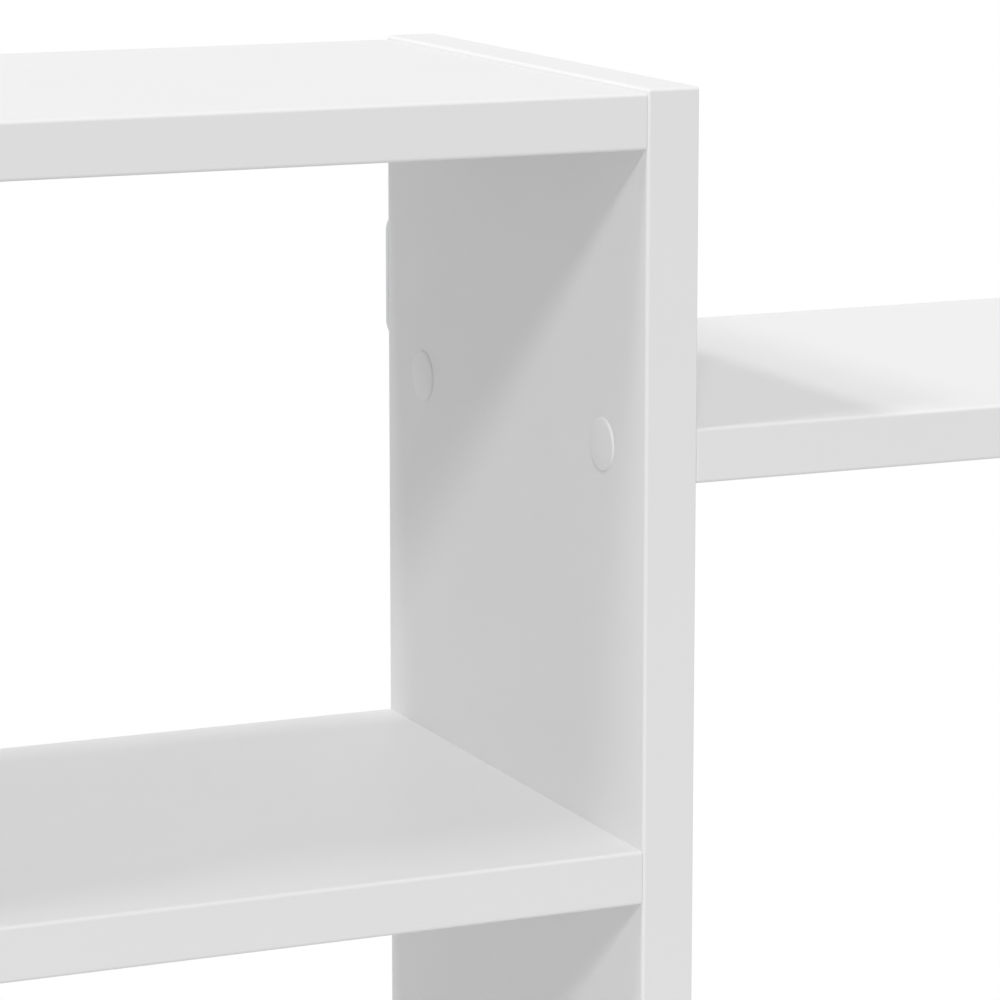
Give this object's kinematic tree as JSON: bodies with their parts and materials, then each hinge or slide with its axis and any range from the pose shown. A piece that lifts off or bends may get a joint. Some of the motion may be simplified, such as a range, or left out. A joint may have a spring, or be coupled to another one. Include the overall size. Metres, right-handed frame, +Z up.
{
  "type": "floating wall shelf",
  "caption": "White floating wall shelf: an open compartment tower between side panels, with staggered wing boards on either side, hung on the wall by keyhole plates.",
  "frame": {"origin": "on the wall plane, midway between the keyhole hangers, at the height of the wall screws' seats", "axes": "+X to the right seen from the front, +Y towards the wall, +Z up"},
  "size_m": [0.8006, 0.1823, 0.4274],
  "materials": {
    "white_melamine": "satin white melamine laminate on particle board, edges banded",
    "white_cap_plastic": "satin moulded plastic",
    "zinc_plated_steel": "bright zinc plate",
    "beech_dowel": "bare turned beech"
  },
  "bodies": {
    "root": {"left_side_panel": "white_melamine", "right_side_panel": "white_melamine", "top_board": "white_melamine", "middle_board": "white_melamine", "bottom_board": "white_melamine", "left_wing_board": "white_melamine", "right_wing_board": "white_melamine", "top_board_left_front_cap": "white_cap_plastic", "top_board_left_rear_cap": "white_cap_plastic", "top_board_right_front_cap": "white_cap_plastic", "top_board_right_rear_cap": "white_cap_plastic", "middle_board_left_front_cap": "white_cap_plastic", "middle_board_left_rear_cap": "white_cap_plastic", "middle_board_right_front_cap": "white_cap_plastic", "middle_board_right_rear_cap": "white_cap_plastic", "bottom_board_left_front_cap": "white_cap_plastic", "bottom_board_left_rear_cap": "white_cap_plastic", "bottom_board_right_front_cap": "white_cap_plastic", "bottom_board_right_rear_cap": "white_cap_plastic", "left_wing_front_cap": "white_cap_plastic", "left_wing_rear_cap": "white_cap_plastic", "right_wing_front_cap": "white_cap_plastic", "right_wing_rear_cap": "white_cap_plastic", "top_board_left_front_screw": "zinc_plated_steel", "top_board_left_rear_screw": "zinc_plated_steel", "top_board_right_front_screw": "zinc_plated_steel", "top_board_right_rear_screw": "zinc_plated_steel", "middle_board_left_front_screw": "zinc_plated_steel", "middle_board_left_rear_screw": "zinc_plated_steel", "middle_board_right_front_screw": "zinc_plated_steel", "middle_board_right_rear_screw": "zinc_plated_steel", "bottom_board_left_front_screw": "zinc_plated_steel", "bottom_board_left_rear_screw": "zinc_plated_steel", "bottom_board_right_front_screw": "zinc_plated_steel", "bottom_board_right_rear_screw": "zinc_plated_steel", "left_wing_front_screw": "zinc_plated_steel", "left_wing_rear_screw": "zinc_plated_steel", "right_wing_front_screw": "zinc_plated_steel", "right_wing_rear_screw": "zinc_plated_steel", "left_hanger_plate": "zinc_plated_steel", "right_hanger_plate": "zinc_plated_steel", "left_hanger_upper_screw": "zinc_plated_steel", "left_hanger_lower_screw": "zinc_plated_steel", "right_hanger_upper_screw": "zinc_plated_steel", "right_hanger_lower_screw": "zinc_plated_steel", "top_board_left_dowel": "beech_dowel", "top_board_right_dowel": "beech_dowel", "middle_board_left_dowel": "beech_dowel", "middle_board_right_dowel": "beech_dowel", "bottom_board_left_dowel": "beech_dowel", "bottom_board_right_dowel": "beech_dowel", "left_wing_dowel": "beech_dowel", "right_wing_dowel": "beech_dowel"}
  },
  "joints": []
}
